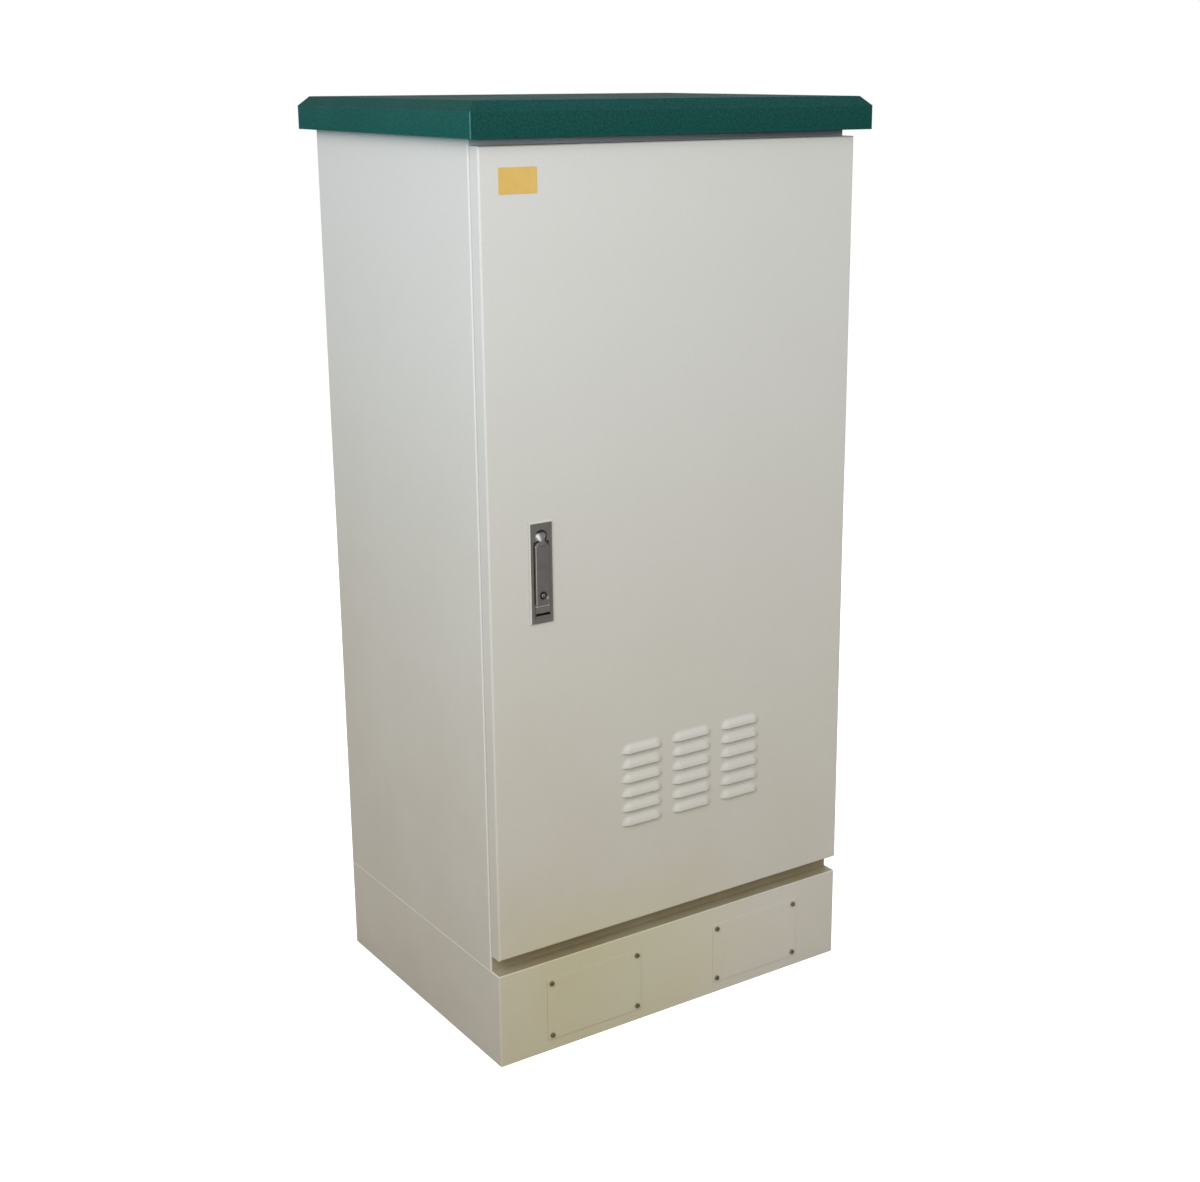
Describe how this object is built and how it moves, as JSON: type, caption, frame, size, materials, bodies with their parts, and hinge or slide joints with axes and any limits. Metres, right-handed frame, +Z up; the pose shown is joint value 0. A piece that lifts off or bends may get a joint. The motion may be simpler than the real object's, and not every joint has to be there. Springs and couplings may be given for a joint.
{
  "type": "rack cabinet",
  "caption": "Floor-standing outdoor rack cabinet with a louvred door, swing-handle rod lock, overhanging bevelled roof and a cable plinth with lay-on covers.",
  "frame": {"origin": "on the floor under the middle of the roof's plan", "axes": "+Z up, -Y out of the door's face, +X towards the hinge side"},
  "size_m": [0.69, 0.54, 1.415],
  "materials": {
    "panel_paint": "satin light warm grey powder coat",
    "roof_paint": "satin dark teal green powder coat",
    "lock_metal": "satin cast zinc",
    "key_metal": "bright turned metal",
    "screw_metal": "darkened steel",
    "zinc_steel": "zinc plated",
    "seal_rubber": "matt black",
    "filter_fibre": "open grey fibre mat"
  },
  "bodies": {
    "cabinet": {"plinth_frame": "panel_paint", "plinth_cover_left": "panel_paint", "plinth_cover_right": "panel_paint", "cover_screws": "screw_metal", "cover_nuts": "zinc_steel", "side_panel_left": "panel_paint", "side_panel_right": "panel_paint", "rear_panel": "panel_paint", "top_panel": "panel_paint", "bottom_panel": "panel_paint", "frame_header": "panel_paint", "frame_sill": "panel_paint", "base_bolts": "zinc_steel", "gland_plate": "zinc_steel", "gland_screws": "zinc_steel", "cable_grommets": "seal_rubber", "roof": "roof_paint", "roof_spacers": "zinc_steel", "roof_bolts": "zinc_steel", "rack_rail_front_left": "zinc_steel", "rack_rail_front_right": "zinc_steel", "rack_rail_rear_left": "zinc_steel", "rack_rail_rear_right": "zinc_steel", "depth_beam_lower_left": "zinc_steel", "depth_beam_lower_right": "zinc_steel", "depth_beam_upper_left": "zinc_steel", "depth_beam_upper_right": "zinc_steel", "rail_bolts": "zinc_steel", "hinge_frame_leaf_lower": "zinc_steel", "hinge_frame_leaf_middle": "zinc_steel", "hinge_frame_leaf_upper": "zinc_steel", "hinge_screws": "zinc_steel", "hinge_pins": "zinc_steel"},
    "door": {"hinge_door_leaf_lower": "zinc_steel", "hinge_door_leaf_middle": "zinc_steel", "hinge_door_leaf_upper": "zinc_steel", "door_panel": "panel_paint", "door_gasket": "seal_rubber", "door_brace_left": "panel_paint", "door_brace_right": "panel_paint", "filter_frame": "zinc_steel", "filter_pad": "filter_fibre", "filter_nuts": "zinc_steel", "lock_bezel": "lock_metal", "lock_clamp": "zinc_steel", "lock_screws": "zinc_steel", "rod_guide_upper": "zinc_steel", "rod_guide_lower": "zinc_steel"},
    "handle": {"lock_spindle": "lock_metal", "lock_cam": "zinc_steel", "cam_screw": "zinc_steel"},
    "lever": {"lock_lever": "lock_metal", "lever_pin": "zinc_steel"},
    "key": {"key_cylinder": "key_metal"},
    "upper_rod": {"rod_upper": "zinc_steel"},
    "lower_rod": {"rod_lower": "zinc_steel"}
  },
  "joints": [
    {"name": "door_swing", "type": "hinge", "parent": "cabinet", "child": "door", "pos_m": [0.3155, -0.241, 0.76625], "axis": [0, 0, 1], "range_deg": [0, 110]},
    {"name": "handle_turn", "type": "hinge", "parent": "door", "child": "handle", "pos_m": [-0.241, -0.252, 0.817], "axis": [0, -1, 0], "range_deg": [0, 90]},
    {"name": "lever_lift", "type": "hinge", "parent": "handle", "child": "lever", "pos_m": [-0.241, -0.25765, 0.805], "axis": [-1, 0, 0], "range_deg": [0, 40]},
    {"name": "key_turn", "type": "hinge", "parent": "lever", "child": "key", "pos_m": [-0.241, -0.2559, 0.7307], "axis": [0, -1, 0], "range_deg": [0, 90]},
    {"name": "upper_rod_slide", "type": "slide", "parent": "door", "child": "upper_rod", "axis": [0, 0, -1], "range_m": [0, 0.0227]},
    {"name": "lower_rod_slide", "type": "slide", "parent": "door", "child": "lower_rod", "axis": [0, 0, 1], "range_m": [0, 0.0227]}
  ],
  "couplings": [
    {"joint": "upper_rod_slide", "follows": "handle_turn", "m_per_rad": 0.014405},
    {"joint": "lower_rod_slide", "follows": "handle_turn", "m_per_rad": 0.014405}
  ]
}
